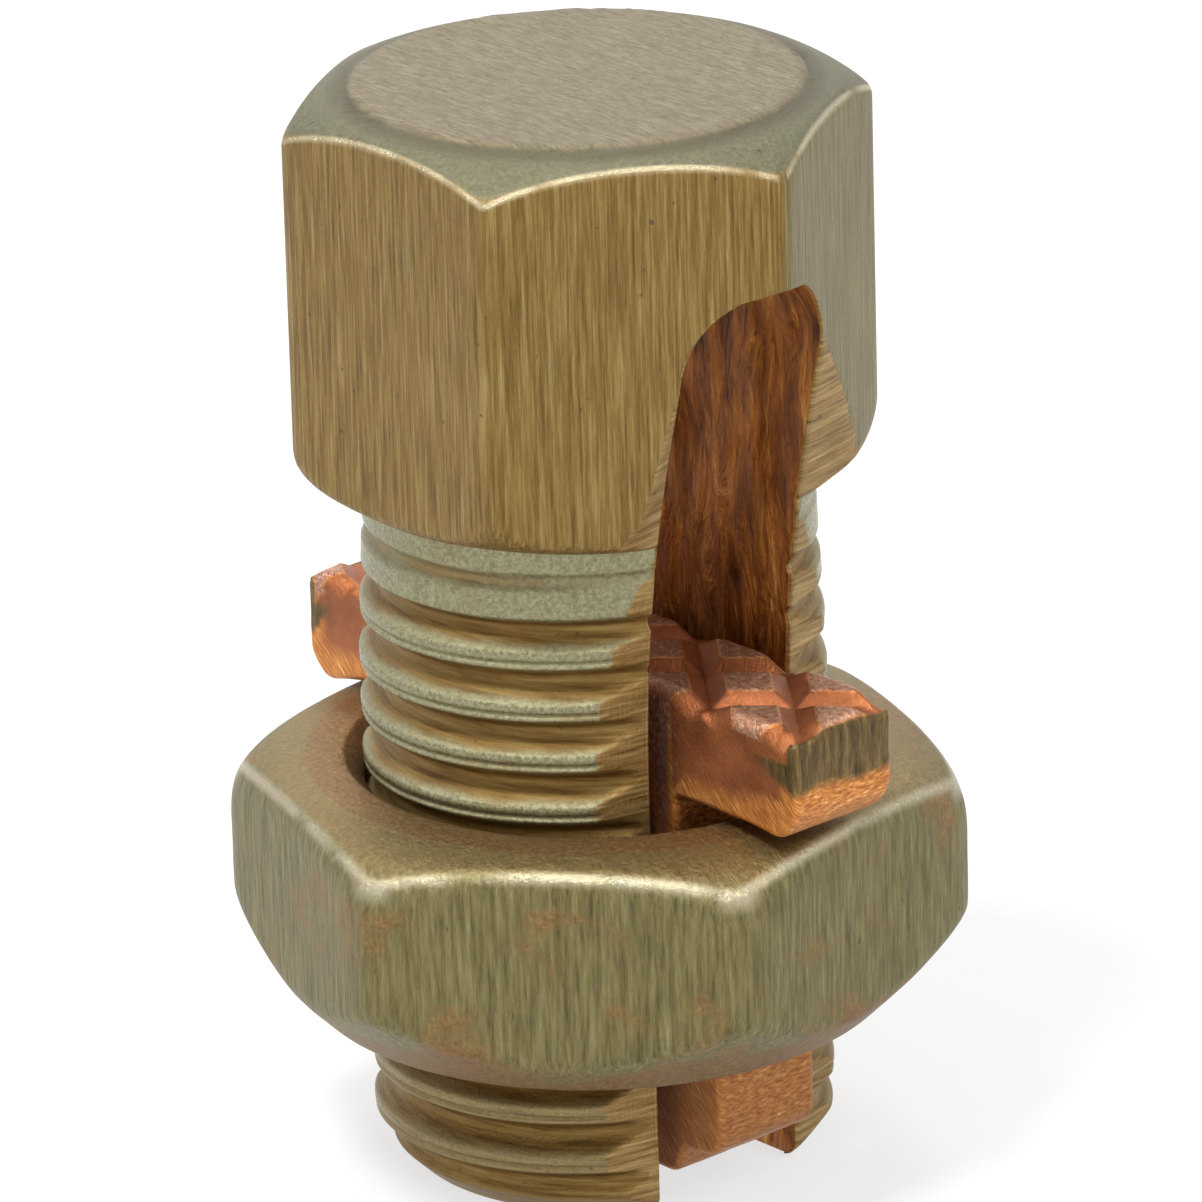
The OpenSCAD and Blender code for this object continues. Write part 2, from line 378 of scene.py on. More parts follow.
class Leg:
    """One leg with its half of the head, as rows of points from the leg's end to the top of the head."""

    def __init__(self, build, middle):
        """middle is the azimuth of the leg's middle."""
        self.build, self.middle = build, middle
        base = FIRST_CREST + PITCH * middle / (2 * np.pi)
        heights = (base + PITCH * np.arange(-2, 15)[:, None] + PROFILE_Z[None, :-1]).reshape(-1)
        heights = heights[(heights > 0.12) & (heights < HEAD_Z - 0.03)]
        self.heights = np.concatenate([[0.0, 0.02, 0.06], heights, [HEAD_Z]])
        head, apex_row = head_rows(np.zeros(1))
        self.shank_rows = len(self.heights)
        self.rows = self.shank_rows + len(head)
        self.apex = self.shank_rows + apex_row
        self.split = np.arange(self.rows) < self.apex
        self.ends = {side: self.slot_edge(side) for side in (-1, 1)}

    def surface(self, turn):
        """Radius and height of the rows at angles from the leg's middle, one line of angles a row."""
        low, high = turn[:self.shank_rows], turn[self.shank_rows:]
        shear = ease(0, 1.4, self.heights) * (1 - ease(HEAD_Z - 1.6, HEAD_Z, self.heights))
        z_low = self.heights[:, None] + shear[:, None] * PITCH * low / (2 * np.pi)
        inset = END_ROUND * np.clip(1 - z_low / END_ROUND, 0, 1) ** 2
        flat = flat_radius(low, z_low, self.middle)
        r_low = smin(shank_radius(low + self.middle, z_low), flat, 0.06) - inset
        directions = head_rows(high + self.middle)[0]
        ray = np.stack([direction[row] for row, direction in enumerate(directions)])
        r_high, z_high = head_surface(ray, high, self.middle)
        return np.concatenate([r_low, r_high]), np.concatenate([z_low, z_high])

    def edge_surface(self, turn):
        """The same at one angle a row."""
        r, z = self.surface(turn[:, None])
        return r[:, 0], z[:, 0]

    def slot_edge(self, side):
        """Angle from the leg's middle at which each row meets the slot wall, or the other half above it."""
        low, high = np.full(self.rows, np.radians(50.0)), np.full(self.rows, np.pi / 2)
        for _ in range(HALVINGS):
            guess = (low + high) / 2
            r, z = self.edge_surface(side * guess)
            inside = r * np.cos(guess) > slot_half(z)
            low, high = np.where(inside, guess, low), np.where(inside, high, guess)
        return np.where(self.split, (low + high) / 2, np.pi / 2)

    def place(self, across, out, height, **values):
        """Adds points: across runs along the slot, and out runs from the slot to the leg's middle."""
        x = out * np.cos(self.middle) - across * np.sin(self.middle)
        y = out * np.sin(self.middle) + across * np.cos(self.middle)
        return self.build.add(x, y, height, **values)

    def finishes(self, turn, r, z):
        """Surface values of the outer points: thread crest, cut flats, and the head's upper arris, marked
        for wear and for a painted highlight.
        """
        shank = turn[:self.shank_rows] + self.middle
        uncut = np.concatenate([shank_radius(shank, z[:self.shank_rows]), r[self.shank_rows:]])
        is_leg = (np.arange(self.rows) < self.shank_rows)[:, None] * np.ones_like(r)
        depth = np.clip((THREAD_R - uncut) / FULL_DEPTH, 0, 1)
        crest = is_leg * (1 - depth + 0.34 * ease(12.5, 16.5, z))
        top = (z - dome_z(r)) * DOME_LEAN
        arris = np.abs(hex_distance(r, turn + self.middle, 0, HEAD_FLAT, HEX_ROUND) - top)
        # the head's upper arris: a worn edge, also painted pale in the material as a painted highlight
        worn = (1 - is_leg) * (1 - ease(0.01, 0.12, arris)) * ease(HEAD_TOP - 1.4, HEAD_TOP - 1.1, z)
        cut_leg = ease(-0.03, 0.05, uncut - flat_radius(turn, z, self.middle)) * is_leg
        flared = ease(-0.02, 0.04, 0.05 + head_uncut_gap(turn, z, self.middle))
        cut = np.maximum(cut_leg, flared * (1 - is_leg) * (z < SLOT_TOP))
        return {"crest": crest, "cut": cut, "worn": worn}

    def outer(self):
        """The outside of the leg and head, with the first and last point of each row."""
        halves = []
        for side in (-1, 1):
            r_end, _ = self.edge_surface(side * self.ends[side])
            start = self.ends[side] - EDGE_R / np.maximum(r_end, 0.5)
            start[self.apex + 1:] = np.pi / 2 * 0.985
            turn = side * arc_turns(start)
            halves.append((turn, *self.surface(turn)))
        turn, r, z = [np.concatenate([left[:, ::-1], right[:, 1:]], 1) for left, right in zip(*halves)]
        across, out = r * np.sin(turn), r * np.cos(turn)
        numbers = self.place(across, out, z, wall=0.0, **self.finishes(turn, r, z))
        return numbers, {side: (across[:, c], out[:, c], z[:, c]) for side, c in ((-1, 0), (1, -1))}

    def corner(self, side, start):
        """Three columns round one slot edge from the outer points at start; also where the wall begins."""
        r, z = self.edge_surface(side * self.ends[side])
        edge = (r * np.sin(side * self.ends[side]), np.where(self.split, r * np.cos(self.ends[side]), 0), z)
        wall = (edge[0] - side * EDGE_R, edge[1], z)
        columns = []
        for s, sharp in ((0.25, (start[0] / 2 + edge[0] / 2, start[1] / 2, start[2] / 2 + z / 2)),
                         (0.5, (edge[0], 0, z)),
                         (0.75, (edge[0] / 2 + wall[0] / 2, 0, z))):
            bend = [(1 - s) ** 2 * a + 2 * s * (1 - s) * b + s * s * c
                    for a, b, c in zip(start[:2], edge[:2], wall[:2])]
            bend.append((1 - s) * start[2] + s * z)
            point = [np.where(self.split, soft, hard) for soft, hard in zip(bend, sharp)]
            columns.append(self.place(*point, crest=0.5 * self.split, cut=0.8 * self.split,
                                      wall=0.3 * self.split))
        return np.stack(columns, 1), (wall[0], z)

    def wall(self, right, left):
        """The slot wall between the two edges, up to the apex of the crown."""
        s = np.linspace(0, 1, WALL_CELLS + 1)[None, :]
        rows = slice(0, self.apex + 1)
        x, z = [a[rows, None] * (1 - s) + b[rows, None] * s for a, b in zip(right, left)]
        rise = np.clip(z - ARCH_Z, 0, SLOT_HALF) / SLOT_HALF
        half = slot_half(z)
        half[-1], rise[-1] = 0, 1
        hand = np.sign(np.sin(self.middle))
        fade = ease(0, 0.08, s) * ease(0, 0.08, 1 - s) * ease(0, 0.6, z)
        depth = wall_depth(-x * np.sin(self.middle), hand * half, z) * fade
        inset = END_ROUND * np.clip(1 - z / END_ROUND, 0, 1) ** 2
        out = half + depth * np.sqrt(1 - rise ** 2) + inset
        return self.place(x, out, z + depth * rise, wall=1.0)

    def make(self):
        """Adds the leg: closed rows up to the slot's apex, open ones that meet the other half above."""
        outer, starts = self.outer()
        right, right_wall = self.corner(1, starts[1])
        left, left_wall = self.corner(-1, starts[-1])
        left = left[:, ::-1]
        rows = slice(0, self.apex + 1)
        loop = np.concatenate([outer[rows], right[rows], self.wall(right_wall, left_wall), left[rows]], 1)
        self.build.strip(loop, closed=True)
        self.build.cap(loop[0])
        upper = slice(self.apex, self.rows)
        self.build.strip(np.concatenate([left[upper, 1:], outer[upper], right[upper, :2]], 1))


def make_bolt():
    build = Build()
    for middle in (np.pi / 2, 3 * np.pi / 2):
        Leg(build, middle).make()
    return build.make("slotted_bolt")


# ---------------------------------------------------------------- nut

NUT_CORNER = np.radians(40.3)
NUT_FLAT = THREAD_R + 0.05 + 2.25
NUT_TURNED = NUT_FLAT / np.cos(np.pi / 6) - 0.12
NUT_TOP = NUT_HI[2]
NUT_BASE = NUT_LO[2]
BORE_R = THREAD_R + 0.05
RIM_R = BORE_R + 1.07
SEAT_R = BORE_R + 1.3
CROWN_SLOPE = np.radians(11)
NUT_CENTRE = (6.75, 7.1)
THREAD_CLEAR = 0.05
NUT_COLUMNS = 288


def nut_outside(r, z, angle):
    """Positive outside the nut's outer form."""
    sides = hex_distance(r, angle, NUT_CORNER, NUT_FLAT, 0.2)
    crown = (z - NUT_TOP + (r - RIM_R) * np.tan(CROWN_SLOPE)) * np.cos(CROWN_SLOPE)
    turned = smax(crown, r - NUT_TURNED, 1.5)
    low = smax(((r - SEAT_R) - (z - NUT_BASE)) * np.sqrt(0.5), NUT_BASE - z, 0.15)
    rim = z - NUT_TOP
    return smax(smax(smax(sides, turned, 0.45), low, 0.25), rim, 0.12)


def make_nut():
    """The nut: outer form by rays from inside its wall, and a threaded bore."""
    build = Build()
    angle = np.linspace(0, 2 * np.pi, NUT_COLUMNS, endpoint=False)
    # rough section that sets how the rows are shared out; the rays find the real one
    knots = np.array([(5.75, 4.1), (6.9, 4.1), (7.9, 5.1), (8.9, 6.1), (8.95, 7.4), (8.95, 8.4), (8.6, 9.2),
                      (7.9, 9.9), (6.9, 10.1), (6.6, 10.15), (6.05, 10.15)])
    steps = np.array([6, 10, 14, 10, 10, 14, 16, 12, 8, 5])
    path = np.concatenate([a + (b - a) * np.linspace(0, 1, n, endpoint=False)[:, None]
                           for a, b, n in zip(knots[:-1], knots[1:], steps)] + [knots[-1:]])
    ray = np.unwrap(np.arctan2(path[:, 1] - NUT_CENTRE[1], path[:, 0] - NUT_CENTRE[0]))[:, None]
    ray = ray + 0 * angle
    t = solve_ray(lambda r, z: nut_outside(r, z, angle), *NUT_CENTRE, np.cos(ray), np.sin(ray), 6)
    r = NUT_CENTRE[0] + t * np.cos(ray)
    z = NUT_CENTRE[1] + t * np.sin(ray)
    dents = 0.02 * rough(r * np.cos(angle) * 0.8, r * np.sin(angle) * 0.8, z * 0.8, 31)
    edge = ease(0, 0.6, r - 6.0)
    r = r - np.abs(dents) * edge
    heights = np.concatenate([NUT_TOP - np.array([0.02, 0.08, 0.16, 0.24, 0.32]),
                              np.arange(NUT_TOP - 0.4, NUT_BASE + 0.3, -0.085),
                              NUT_BASE + np.array([0.25, 0.15, 0.07, 0.02])])[:, None]
    mouth = np.maximum(0.4 - (NUT_TOP - heights), 0.15 - (heights - NUT_BASE))
    lost = FULL_DEPTH * ease(RUN_OUT[0] - TRAVEL_UP, RUN_OUT[1] - TRAVEL_UP, heights)
    thread = THREAD_R - np.maximum(thread_drop(angle, heights) - lost, 0) + THREAD_CLEAR
    bore = smax(np.maximum(thread, BORE_R - 0.48), BORE_R + mouth, 0.06)
    inside = heights + 0 * angle
    radius = np.concatenate([r, bore])
    height = np.concatenate([z, inside])
    rim = np.concatenate([ease(9.85, 10.12, z) * (r < RIM_R + 0.25), np.ones_like(bore)])
    low = 1 - ease(NUT_BASE + 0.2, NUT_BASE + 2.6, height)
    side = hex_distance(r, angle, NUT_CORNER, NUT_FLAT, 0.2)
    crown = (z - NUT_TOP + (r - RIM_R) * np.tan(CROWN_SLOPE)) * np.cos(CROWN_SLOPE)
    # the rounded edge between the sides and the crown: a worn edge, also painted pale in the material as a
    # painted highlight
    worn = np.concatenate([1 - ease(0.02, 0.3, np.abs(side - np.maximum(crown, r - NUT_TURNED))), 0 * bore])
    worn *= ease(8.9, 9.35, height)
    numbers = build.add(radius * np.cos(angle), radius * np.sin(angle), height, rim=rim, low=low, worn=worn)
    build.strip(numbers, closed=True)
    build.strip(np.stack([numbers[-1], numbers[0]]), closed=True)
    return build.make("hex_nut")


# ---------------------------------------------------------------- pressure bar

ARM_Z = BAR_LO[2] + 9.6
BAR_TOP = BAR_HI[2]
ARM_X = BAR_HI[0]
BAR_HALF = BAR_HI[1]
STEM_X = 4.5
EAR_X = 5.82
EAR_TOP = NUT_BASE - 0.2
EAR_Z = EAR_TOP - 2.4
STEM_Z = BAR_LO[2]
GROOVE_TURN = np.radians(38)
GROOVE_PITCH = 3.1
GROOVE_START = 0.8
DROOP = 0.6
GROOVE_DEPTH = 0.34
GROOVE_HALF = 0.46


def rounded(corners, radii, spacing):
    """Points round a closed outline with rounded corners; spacing is the step along the side after each."""
    corners = np.array(corners, float)
    points = []
    count = len(corners)
    for i in range(count):
        before, here, after = corners[i - 1], corners[i], corners[(i + 1) % count]
        a, b = (before - here), (after - here)
        a, b = a / np.hypot(*a), b / np.hypot(*b)
        start, end = here + a * radii[i], here + b * radii[i]
        for s in np.linspace(0, 1, 6):
            points.append((1 - s) ** 2 * start + 2 * s * (1 - s) * here + s * s * end)
        next_start = after - b * radii[(i + 1) % count]
        steps = max(int(np.hypot(*(next_start - end)) / spacing[i]), 1)
        for s in np.linspace(0, 1, steps + 1)[1:-1]:
            points.append(end + (next_start - end) * s)
    return np.array(points)


def groove_depth(x, y):
    """Depth of the crossing grip grooves below the bar's top."""
    depth = 0
    for turn in (-GROOVE_TURN, GROOVE_TURN):
        across = (x - GROOVE_START) * np.sin(turn) - y * np.cos(turn)
        step = GROOVE_PITCH * abs(np.sin(turn))
        off = np.abs(np.mod(across + step / 2, step) - step / 2)
        depth = np.maximum(depth, GROOVE_DEPTH * (1 - off / GROOVE_HALF))
    scoops = 0
    for x0 in (-7.2, -4.9, 5.9, 8.0):
        scoops = np.maximum(scoops, 0.3 - np.hypot(x - x0, (y + BAR_HALF) * 0.8) * 0.75)
    return np.maximum(np.maximum(depth, scoops), 0)


def make_bar():
    """The bar: its outline carried across its width, with rounded edges and a gripping top."""
    build = Build()
    right = [(ARM_X, BAR_TOP), (ARM_X, 10.95), (ARM_X - 0.62, ARM_Z + 0.02), (ARM_X - 1.6, ARM_Z + 0.14),
             (STEM_X, ARM_Z + 0.14), (STEM_X, EAR_TOP), (EAR_X, EAR_TOP), (EAR_X, EAR_Z),
             (STEM_X, EAR_Z), (STEM_X - 0.3, STEM_Z)]
    left = [(-x, z) for x, z in reversed(right)]
    radii = [0.6, 0.35, 0.3, 0.5, 0.2, 0.15, 0.45, 0.75, 0.2, 0.3]
    spacing = [0.1, 0.12, 0.15, 0.2, 0.25, 0.15, 0.15, 0.15, 0.15, 0.3]
    back = [0.055] + [spacing[i] for i in range(len(spacing) - 2, -1, -1)]
    outline = rounded(right + left, radii + radii[::-1], spacing + back[1:] + [0.055])
    along = np.roll(outline, -1, 0) - np.roll(outline, 1, 0)
    along /= np.hypot(along[:, 0], along[:, 1])[:, None]
    inward = np.stack([along[:, 1], -along[:, 0]], 1)
    if np.mean((inward * (outline - [0, 11])).sum(1)) > 0:
        inward = -inward
    x, z = outline[:, :1], outline[:, 1:]
    on_top = ease(BAR_TOP - 0.5, BAR_TOP - 0.05, z)
    radius = 0.16 + 0.16 * on_top
    bend = np.radians(np.array([0, 22.5, 45, 67.5, 90]))
    flat = np.linspace(-1, 1, 49)[None, :]
    y_flat = flat * (BAR_HALF - radius)
    y_low = -(BAR_HALF - radius) - radius * np.sin(bend[::-1][:-1])
    y_high = (BAR_HALF - radius) + radius * np.sin(bend[1:])
    y = np.concatenate([y_low, y_flat, y_high], 1)
    inset_edge = radius * (1 - np.cos(bend))
    inset = np.concatenate([inset_edge[:, ::-1][:, :-1], 0 * y_flat, inset_edge[:, 1:]], 1)
    uneven = 0.035 * rough(x * 0.9 + 0 * y, y * 0.9, z * 0.9, 41)
    inset = inset + 0.02 + np.abs(uneven)
    px = x + inward[:, :1] * inset
    pz = z + inward[:, 1:] * inset
    grip = groove_depth(px, y) * on_top
    lean = 0.1 * (1 - y / BAR_HALF) * on_top
    pads = on_top * (grip < 0.03)
    grain = 0.014 * noise(px * 9, y * 9, pz * 9, 51) * pads
    end = (np.abs(px) > ARM_X - 0.4) * ease(BAR_TOP - 2.4, BAR_TOP - 1.2, pz)
    droop = DROOP * ease(-4.5, -11.0, px)
    pz = pz - grip - lean - droop + grain - 0.014 * pads
    groove = np.clip(grip / GROOVE_DEPTH, 0, 1)
    numbers = build.add(px, y, pz, pad=pads, groove=groove, end=end * (1 - on_top))
    build.strip(np.concatenate([numbers, numbers[:1]], 0))
    build.cap(numbers[:, 0])
    build.cap(numbers[:, -1])
    return build.make("grip_bar")


# ---------------------------------------------------------------- materials

class Shader:
    """Adds nodes to one metal's material."""

    def __init__(self, name):
        self.material = bpy.data.materials.new(name)
        self.material.use_nodes = True
        self.tree = self.material.node_tree
        self.surface = self.tree.nodes["Principled BSDF"]
        coords = self.tree.nodes.new("ShaderNodeTexCoord")
        self.coords = self.scale(coords.outputs["Object"], (1 / MM,) * 3)
        self.normal = coords.outputs["Normal"]

    def node(self, kind, inputs=None, **settings):
        made = self.tree.nodes.new(kind)
        for key, value in settings.items():
            setattr(made, key, value)
        for key, value in (inputs or {}).items():
            if isinstance(value, bpy.types.NodeSocket):
                self.tree.links.new(value, made.inputs[key])
            else:
                made.inputs[key].default_value = value
        return made

    def scale(self, vector, factors):
        return self.node("ShaderNodeMapping", {"Vector": vector, "Scale": factors}).outputs[0]

    def noise(self, factors, detail=4, roughness=0.6, twist=0.0, offset=0.0):
        """Noise over the surface with so many cells a millimetre along each axis."""
        where = self.node("ShaderNodeMapping", {"Vector": self.coords, "Scale": factors,
                                                "Location": (offset,) * 3}).outputs[0]
        return self.node("ShaderNodeTexNoise", {"Vector": where, "Scale": 1.0, "Detail": float(detail),
                                                "Roughness": roughness, "Distortion": twist}).outputs[0]

    def value(self, name):
        return self.node("ShaderNodeAttribute", attribute_name=name).outputs["Fac"]

    def part(self, vector, axis):
        return self.node("ShaderNodeSeparateXYZ", {0: vector}).outputs[axis]

    def ramp(self, fac, stops):
        made = self.node("ShaderNodeValToRGB", {"Fac": fac})
        points = made.color_ramp.elements
        while len(points) < len(stops):
            points.new(0.5)
        for point, (place, colour) in zip(points, stops):
            point.position = place
            point.color = (*colour, 1)
        return made.outputs[0]

    def window(self, value, low, high):
        """0 where value is below low, 1 above high."""
        return self.node("ShaderNodeMapRange", {"Value": value, "From Min": low, "From Max": high},
                         interpolation_type="SMOOTHSTEP").outputs[0]

    def math(self, operation, a, b=0.0):
        return self.node("ShaderNodeMath", {0: a, 1: b}, operation=operation).outputs[0]

    def ragged(self, value, grain, amount):
        """A value made uneven by noise about its middle."""
        return self.math("ADD", value, self.math("MULTIPLY", self.math("SUBTRACT", grain, 0.5), amount))

    def mix(self, fac, a, b):
        made = self.node("ShaderNodeMix", data_type="RGBA")
        for index, value in ((0, fac), (6, a), (7, b)):
            if isinstance(value, bpy.types.NodeSocket):
                self.tree.links.new(value, made.inputs[index])
            else:
                made.inputs[index].default_value = (*value, 1) if index else value
        return made.outputs[2]

    def bump(self, height, distance, normal=None):
        inputs = {"Height": height, "Distance": distance * MM, "Strength": 1.0}
        if normal is not None:
            inputs["Normal"] = normal
        return self.node("ShaderNodeBump", inputs).outputs[0]

    def finish(self, colour, roughness, normal, metallic):
        for name, socket in (("Base Color", colour), ("Roughness", roughness), ("Normal", normal)):
            self.tree.links.new(socket, self.surface.inputs[name])
        self.surface.inputs["Metallic"].default_value = metallic
        return self.material


def bolt_bronze():
    """Bronze with drawn streaks on the head, pale patina on the crests and golden thread flanks."""
    s = Shader("bolt_bronze")
    height = s.part(s.coords, 2)
    side = s.part(s.normal, 1)
    streaks = s.noise((11, 11, 0.4), 6, 0.75)
    broad = s.noise((0.45, 0.45, 0.3), 4, 0.6)
    grain = s.noise((9, 9, 9), 5, 0.7)
    rings = s.noise((0.5, 0.5, 11), 5, 0.7)
    gold = s.ramp(streaks, [(0.3, (0.09, 0.055, 0.015)), (0.47, (0.214, 0.13, 0.035)),
                            (0.6, (0.317, 0.213, 0.072)), (0.75, (0.428, 0.334, 0.15))])
    grey = s.ramp(streaks, [(0.3, (0.091, 0.075, 0.03)), (0.5, (0.19, 0.154, 0.061)),
                            (0.72, (0.309, 0.261, 0.128))])
    colour = s.mix(s.window(side, -0.2, 0.4), gold, grey)
    colour = s.mix(s.window(broad, 0.6, 0.8), colour, grey)
    # top: greenish chamfer and browner brushed disc
    up = s.window(s.part(s.normal, 2), 0.5, 0.8)
    green = s.ramp(grain, [(0.3, (0.088, 0.083, 0.045)), (0.55, (0.151, 0.142, 0.083)),
                           (0.75, (0.218, 0.205, 0.135))])
    brushed = s.noise((2.2, 13, 2), 6, 0.75)
    brown = s.ramp(brushed, [(0.3, (0.092, 0.071, 0.04)), (0.5, (0.178, 0.146, 0.086)),
                             (0.72, (0.297, 0.252, 0.165))])
    middle = s.window(height, HEAD_TOP - 0.13, HEAD_TOP - 0.03)
    top = s.mix(middle, green, brown)
    colour = s.mix(s.math("MULTIPLY", up, s.window(height, HEAD_TOP - 1.4, HEAD_TOP - 1.0)), colour, top)
    # painted shade: a dark band along the soft step up to the raised disc, where the step would be in shade
    step = s.math("MULTIPLY", s.window(height, HEAD_TOP - 0.26, HEAD_TOP - 0.14),
                  s.window(height, HEAD_TOP - 0.02, HEAD_TOP - 0.1))
    colour = s.mix(s.math("MULTIPLY", step, 0.55), colour, (0.07, 0.055, 0.03))
    # legs: pale crests over golden roots
    root = s.ramp(rings, [(0.3, (0.099, 0.051, 0.012)), (0.5, (0.238, 0.139, 0.036)),
                          (0.72, (0.343, 0.238, 0.086))])
    pale = s.ramp(grain, [(0.28, (0.138, 0.129, 0.064)), (0.5, (0.276, 0.257, 0.142)),
                          (0.72, (0.401, 0.378, 0.243))])
    crest = s.ragged(s.value("crest"), broad, 0.9)
    thread = s.mix(s.window(crest, 0.45, 0.95), root, pale)
    on_leg = s.window(height, HEAD_Z + 0.08, HEAD_Z - 0.08)
    colour = s.mix(on_leg, colour, thread)
    low_leg = s.window(height, NUT_BASE + 0.6, NUT_BASE - 0.6)
    colour = s.mix(s.math("MULTIPLY", low_leg, 0.6), colour, root)
    # flats beside the slot
    cut = s.ramp(rings, [(0.3, (0.107, 0.06, 0.017)), (0.5, (0.295, 0.18, 0.056)),
                         (0.7, (0.492, 0.352, 0.15))])
    colour = s.mix(s.window(s.value("cut"), 0.3, 0.7), colour, cut)
    # slot walls
    wall_grain = s.noise((2.2, 1, 0.45), 5, 0.7, 0.6)
    wall = s.ramp(wall_grain, [(0.3, (0.08, 0.027, 0.007)), (0.48, (0.32, 0.105, 0.017)),
                               (0.62, (0.576, 0.225, 0.04)), (0.76, (1, 0.75, 0.264))])
    colour = s.mix(s.window(s.value("wall"), 0.4, 0.8), colour, wall)
    # painted highlight and wear: the head's upper arris is painted pale in patches and made less rough
    worn = s.math("MULTIPLY", s.value("worn"), s.window(broad, 0.32, 0.55))
    colour = s.mix(s.math("MULTIPLY", worn, 0.6), colour, (0.7, 0.62, 0.42))
    # dirt specks
    specks = s.noise((3.2, 3.2, 3.2), 3, 0.5, 0.0, 5.0)
    colour = s.mix(s.math("MULTIPLY", s.window(specks, 0.7, 0.76), 0.6), colour, (0.04, 0.035, 0.025))
    shine = s.math("MULTIPLY", s.math("MULTIPLY", on_leg, s.window(s.value("crest"), 0.8, 1.0)), 0.16)
    shine = s.math("ADD", shine, s.math("MULTIPLY", worn, 0.2))
    roughness = s.math("SUBTRACT", s.math("ADD", s.math("MULTIPLY", grain, 0.3), 0.27), shine)
    bumps = s.bump(streaks, 0.035)
    bumps = s.bump(rings, 0.012, bumps)
    bumps = s.bump(grain, 0.012, bumps)
    bumps = s.bump(s.math("MULTIPLY", wall_grain, s.value("wall")), 0.3, bumps)
    return s.finish(colour, roughness, bumps, 0.8)


def nut_bronze():
    """Olive patina with upright streaks and stains; warm rim and thread."""
    s = Shader("nut_bronze")
    streaks = s.noise((8, 8, 0.6), 6, 0.75)
    broad = s.noise((0.4, 0.4, 0.5), 4, 0.6, 0.3, 3.0)
    grain = s.noise((8, 8, 8), 5, 0.7)
    olive = s.ramp(streaks, [(0.28, (0.059, 0.052, 0.021)), (0.47, (0.155, 0.132, 0.05)),
                             (0.6, (0.227, 0.192, 0.081)), (0.78, (0.353, 0.304, 0.163))])
    tan = s.ramp(grain, [(0.3, (0.126, 0.068, 0.02)), (0.55, (0.252, 0.148, 0.053)),
                         (0.75, (0.353, 0.24, 0.114))])
    colour = s.mix(s.window(broad, 0.52, 0.68), olive, tan)
    stain = s.ragged(s.value("low"), broad, 1.2)
    rust = s.ramp(grain, [(0.3, (0.096, 0.043, 0.01)), (0.55, (0.216, 0.106, 0.027)),
                          (0.75, (0.32, 0.196, 0.064))])
    colour = s.mix(s.math("MULTIPLY", s.window(stain, 0.62, 0.95), 0.8), colour, rust)
    copper = s.ramp(grain, [(0.3, (0.089, 0.048, 0.017)), (0.55, (0.19, 0.113, 0.045)),
                            (0.75, (0.279, 0.205, 0.098))])
    colour = s.mix(s.window(s.value("rim"), 0.4, 0.9), colour, copper)
    up = s.window(s.part(s.normal, 2), 0.6, 0.95)
    colour = s.mix(s.math("MULTIPLY", up, 0.4), colour, tan)
    # painted highlight and wear: the nut's rounded top edge is painted pale in patches and made less rough
    worn = s.math("MULTIPLY", s.value("worn"), s.window(broad, 0.3, 0.5))
    colour = s.mix(s.math("MULTIPLY", worn, 0.55), colour, (0.62, 0.56, 0.4))
    pits = s.noise((2.2, 2.2, 1.4), 4, 0.6, 0.4, 9.0)
    colour = s.mix(s.math("MULTIPLY", s.window(pits, 0.66, 0.74), 0.65), colour, (0.035, 0.034, 0.026))
    roughness = s.math("SUBTRACT", s.math("ADD", s.math("MULTIPLY", grain, 0.3), 0.28),
                       s.math("MULTIPLY", worn, 0.22))
    bumps = s.bump(streaks, 0.03)
    bumps = s.bump(pits, 0.05, bumps)
    bumps = s.bump(grain, 0.012, bumps)
    return s.finish(colour, roughness, bumps, 0.75)


def bar_copper():
    """Reddish copper, scratched on its sides, grainy on the pads and smooth in the grooves."""
    s = Shader("bar_copper")
    turned = s.node("ShaderNodeMapping", {"Vector": s.coords, "Rotation": (0, 0.75, 0)}).outputs[0]
    scratch_at = s.scale(turned, (20, 4, 1.6))
    scratch = s.node("ShaderNodeTexNoise", {"Vector": scratch_at, "Scale": 1.0, "Detail": 5.0,
                                            "Roughness": 0.75}).outputs[0]
    grain = s.noise((9, 9, 9), 5, 0.7)
    broad = s.noise((0.6, 0.6, 0.6), 4, 0.6)
    upright = s.noise((5, 5, 0.8), 5, 0.75)
    copper = s.ramp(scratch, [(0.28, (0.197, 0.06, 0.015)), (0.47, (0.521, 0.179, 0.043)),
                              (0.6, (0.79, 0.35, 0.091)), (0.74, (1, 0.947, 0.38))])
    pale = s.ramp(grain, [(0.3, (0.2, 0.09, 0.05)), (0.52, (0.4, 0.2, 0.12)), (0.72, (0.78, 0.5, 0.36))])
    smooth = s.ramp(broad, [(0.3, (0.16, 0.045, 0.014)), (0.6, (0.36, 0.12, 0.042))])
    colour = s.mix(s.window(s.value("groove"), 0.05, 0.2), copper, smooth)
    colour = s.mix(s.window(s.value("pad"), 0.4, 0.8), colour, pale)
    # painted shade: the bar is darkened below 6 mm, where it lies in the slot and under the nut
    low_shade = s.window(s.part(s.coords, 2), 6.0, 3.0)
    colour = s.mix(s.math("MULTIPLY", low_shade, 0.5), colour, (0.13, 0.06, 0.024))
    olive = s.ramp(upright, [(0.3, (0.034, 0.025, 0.009)), (0.5, (0.128, 0.081, 0.028)),
                             (0.72, (0.271, 0.182, 0.068))])
    tooled = s.window(s.ragged(s.value("end"), broad, 0.8), 0.3, 0.7)
    colour = s.mix(tooled, colour, olive)
    roughness = s.math("ADD", s.math("MULTIPLY", grain, 0.25), 0.25)
    bumps = s.bump(scratch, 0.03)
    bumps = s.bump(grain, 0.015, bumps)
    return s.finish(colour, roughness, bumps, 0.8)


# ---------------------------------------------------------------- light, floor and camera

